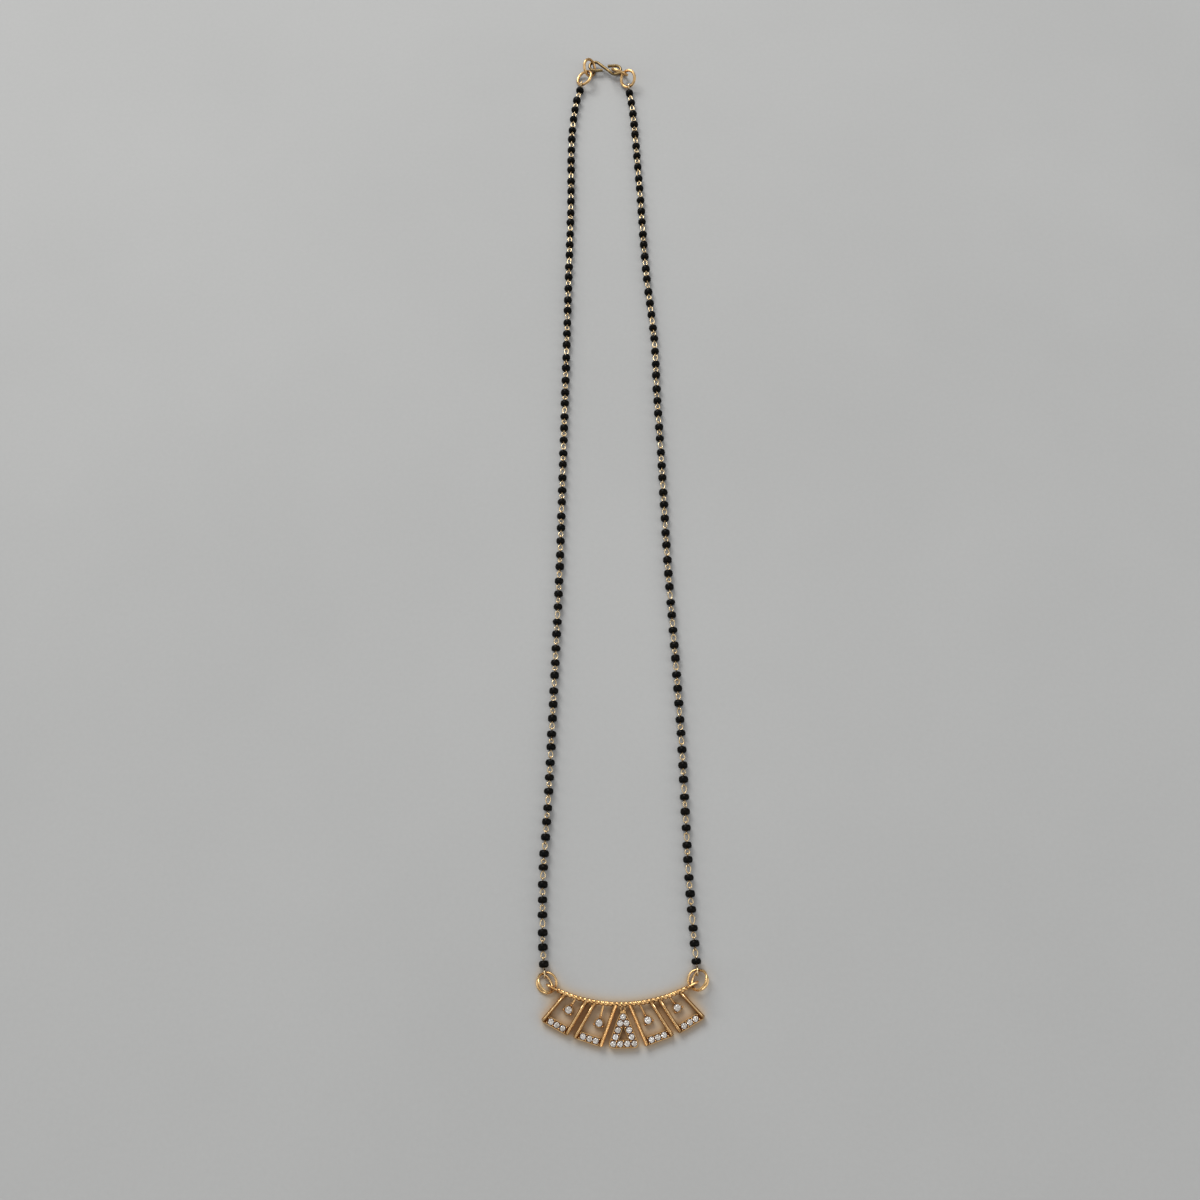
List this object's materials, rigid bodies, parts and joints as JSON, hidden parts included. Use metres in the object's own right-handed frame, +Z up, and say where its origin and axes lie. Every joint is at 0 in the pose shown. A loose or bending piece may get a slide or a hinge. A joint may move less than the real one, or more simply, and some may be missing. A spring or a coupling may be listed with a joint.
{
  "type": "mangalsutra",
  "caption": "Short mangalsutra of small black glass beads on wire pins, with a stone-set gold pendant on a rope arc and an S-hook clasp, laid flat.",
  "frame": {"origin": "middle of the outline, on the surface that the necklace lies on", "axes": "+Y from the pendant to the clasp, +Z up from the surface, +X to the right seen from the pendant's side"},
  "size_m": [0.0393, 0.2755, 0.0047],
  "materials": {
    "pendant_gold": "polished warm rose gold, cast, with bright edges",
    "pale_gold": "polished pale yellow gold wire",
    "hook_brass": "satin, slightly olive brass wire",
    "black_glass": "glossy black glass beads",
    "clear_stone": "clear round brilliant-cut stones"
  },
  "bodies": {
    "root": {"pendant_frame": "pendant_gold", "stone_left_outer_1": "clear_stone", "stone_left_outer_2": "clear_stone", "stone_left_outer_3": "clear_stone", "stone_left_inner_1": "clear_stone", "stone_left_inner_2": "clear_stone", "stone_left_inner_3": "clear_stone", "stone_right_inner_1": "clear_stone", "stone_right_inner_2": "clear_stone", "stone_right_inner_3": "clear_stone", "stone_right_outer_1": "clear_stone", "stone_right_outer_2": "clear_stone", "stone_right_outer_3": "clear_stone", "stone_triangle_1": "clear_stone", "stone_triangle_2": "clear_stone", "stone_triangle_3": "clear_stone", "stone_triangle_4": "clear_stone", "stone_triangle_5": "clear_stone", "stone_triangle_6": "clear_stone", "stone_triangle_7": "clear_stone", "stone_triangle_8": "clear_stone", "stone_triangle_9": "clear_stone", "stone_triangle_10": "clear_stone", "stone_triangle_11": "clear_stone", "drop_stone_left_outer": "clear_stone", "drop_stone_left_inner": "clear_stone", "drop_stone_right_inner": "clear_stone", "drop_stone_right_outer": "clear_stone", "jump_ring_left_1": "pale_gold", "jump_ring_left_2": "pale_gold", "jump_ring_right_1": "pale_gold", "jump_ring_right_2": "pale_gold", "clasp_ring_left_1": "pale_gold", "clasp_ring_right_1": "pale_gold", "clasp_ring_left_2": "pale_gold", "clasp_ring_right_2": "pale_gold", "s_hook": "hook_brass", "beads_left": "black_glass", "beads_right": "black_glass", "wire_left": "pale_gold", "wire_right": "pale_gold"}
  },
  "joints": []
}
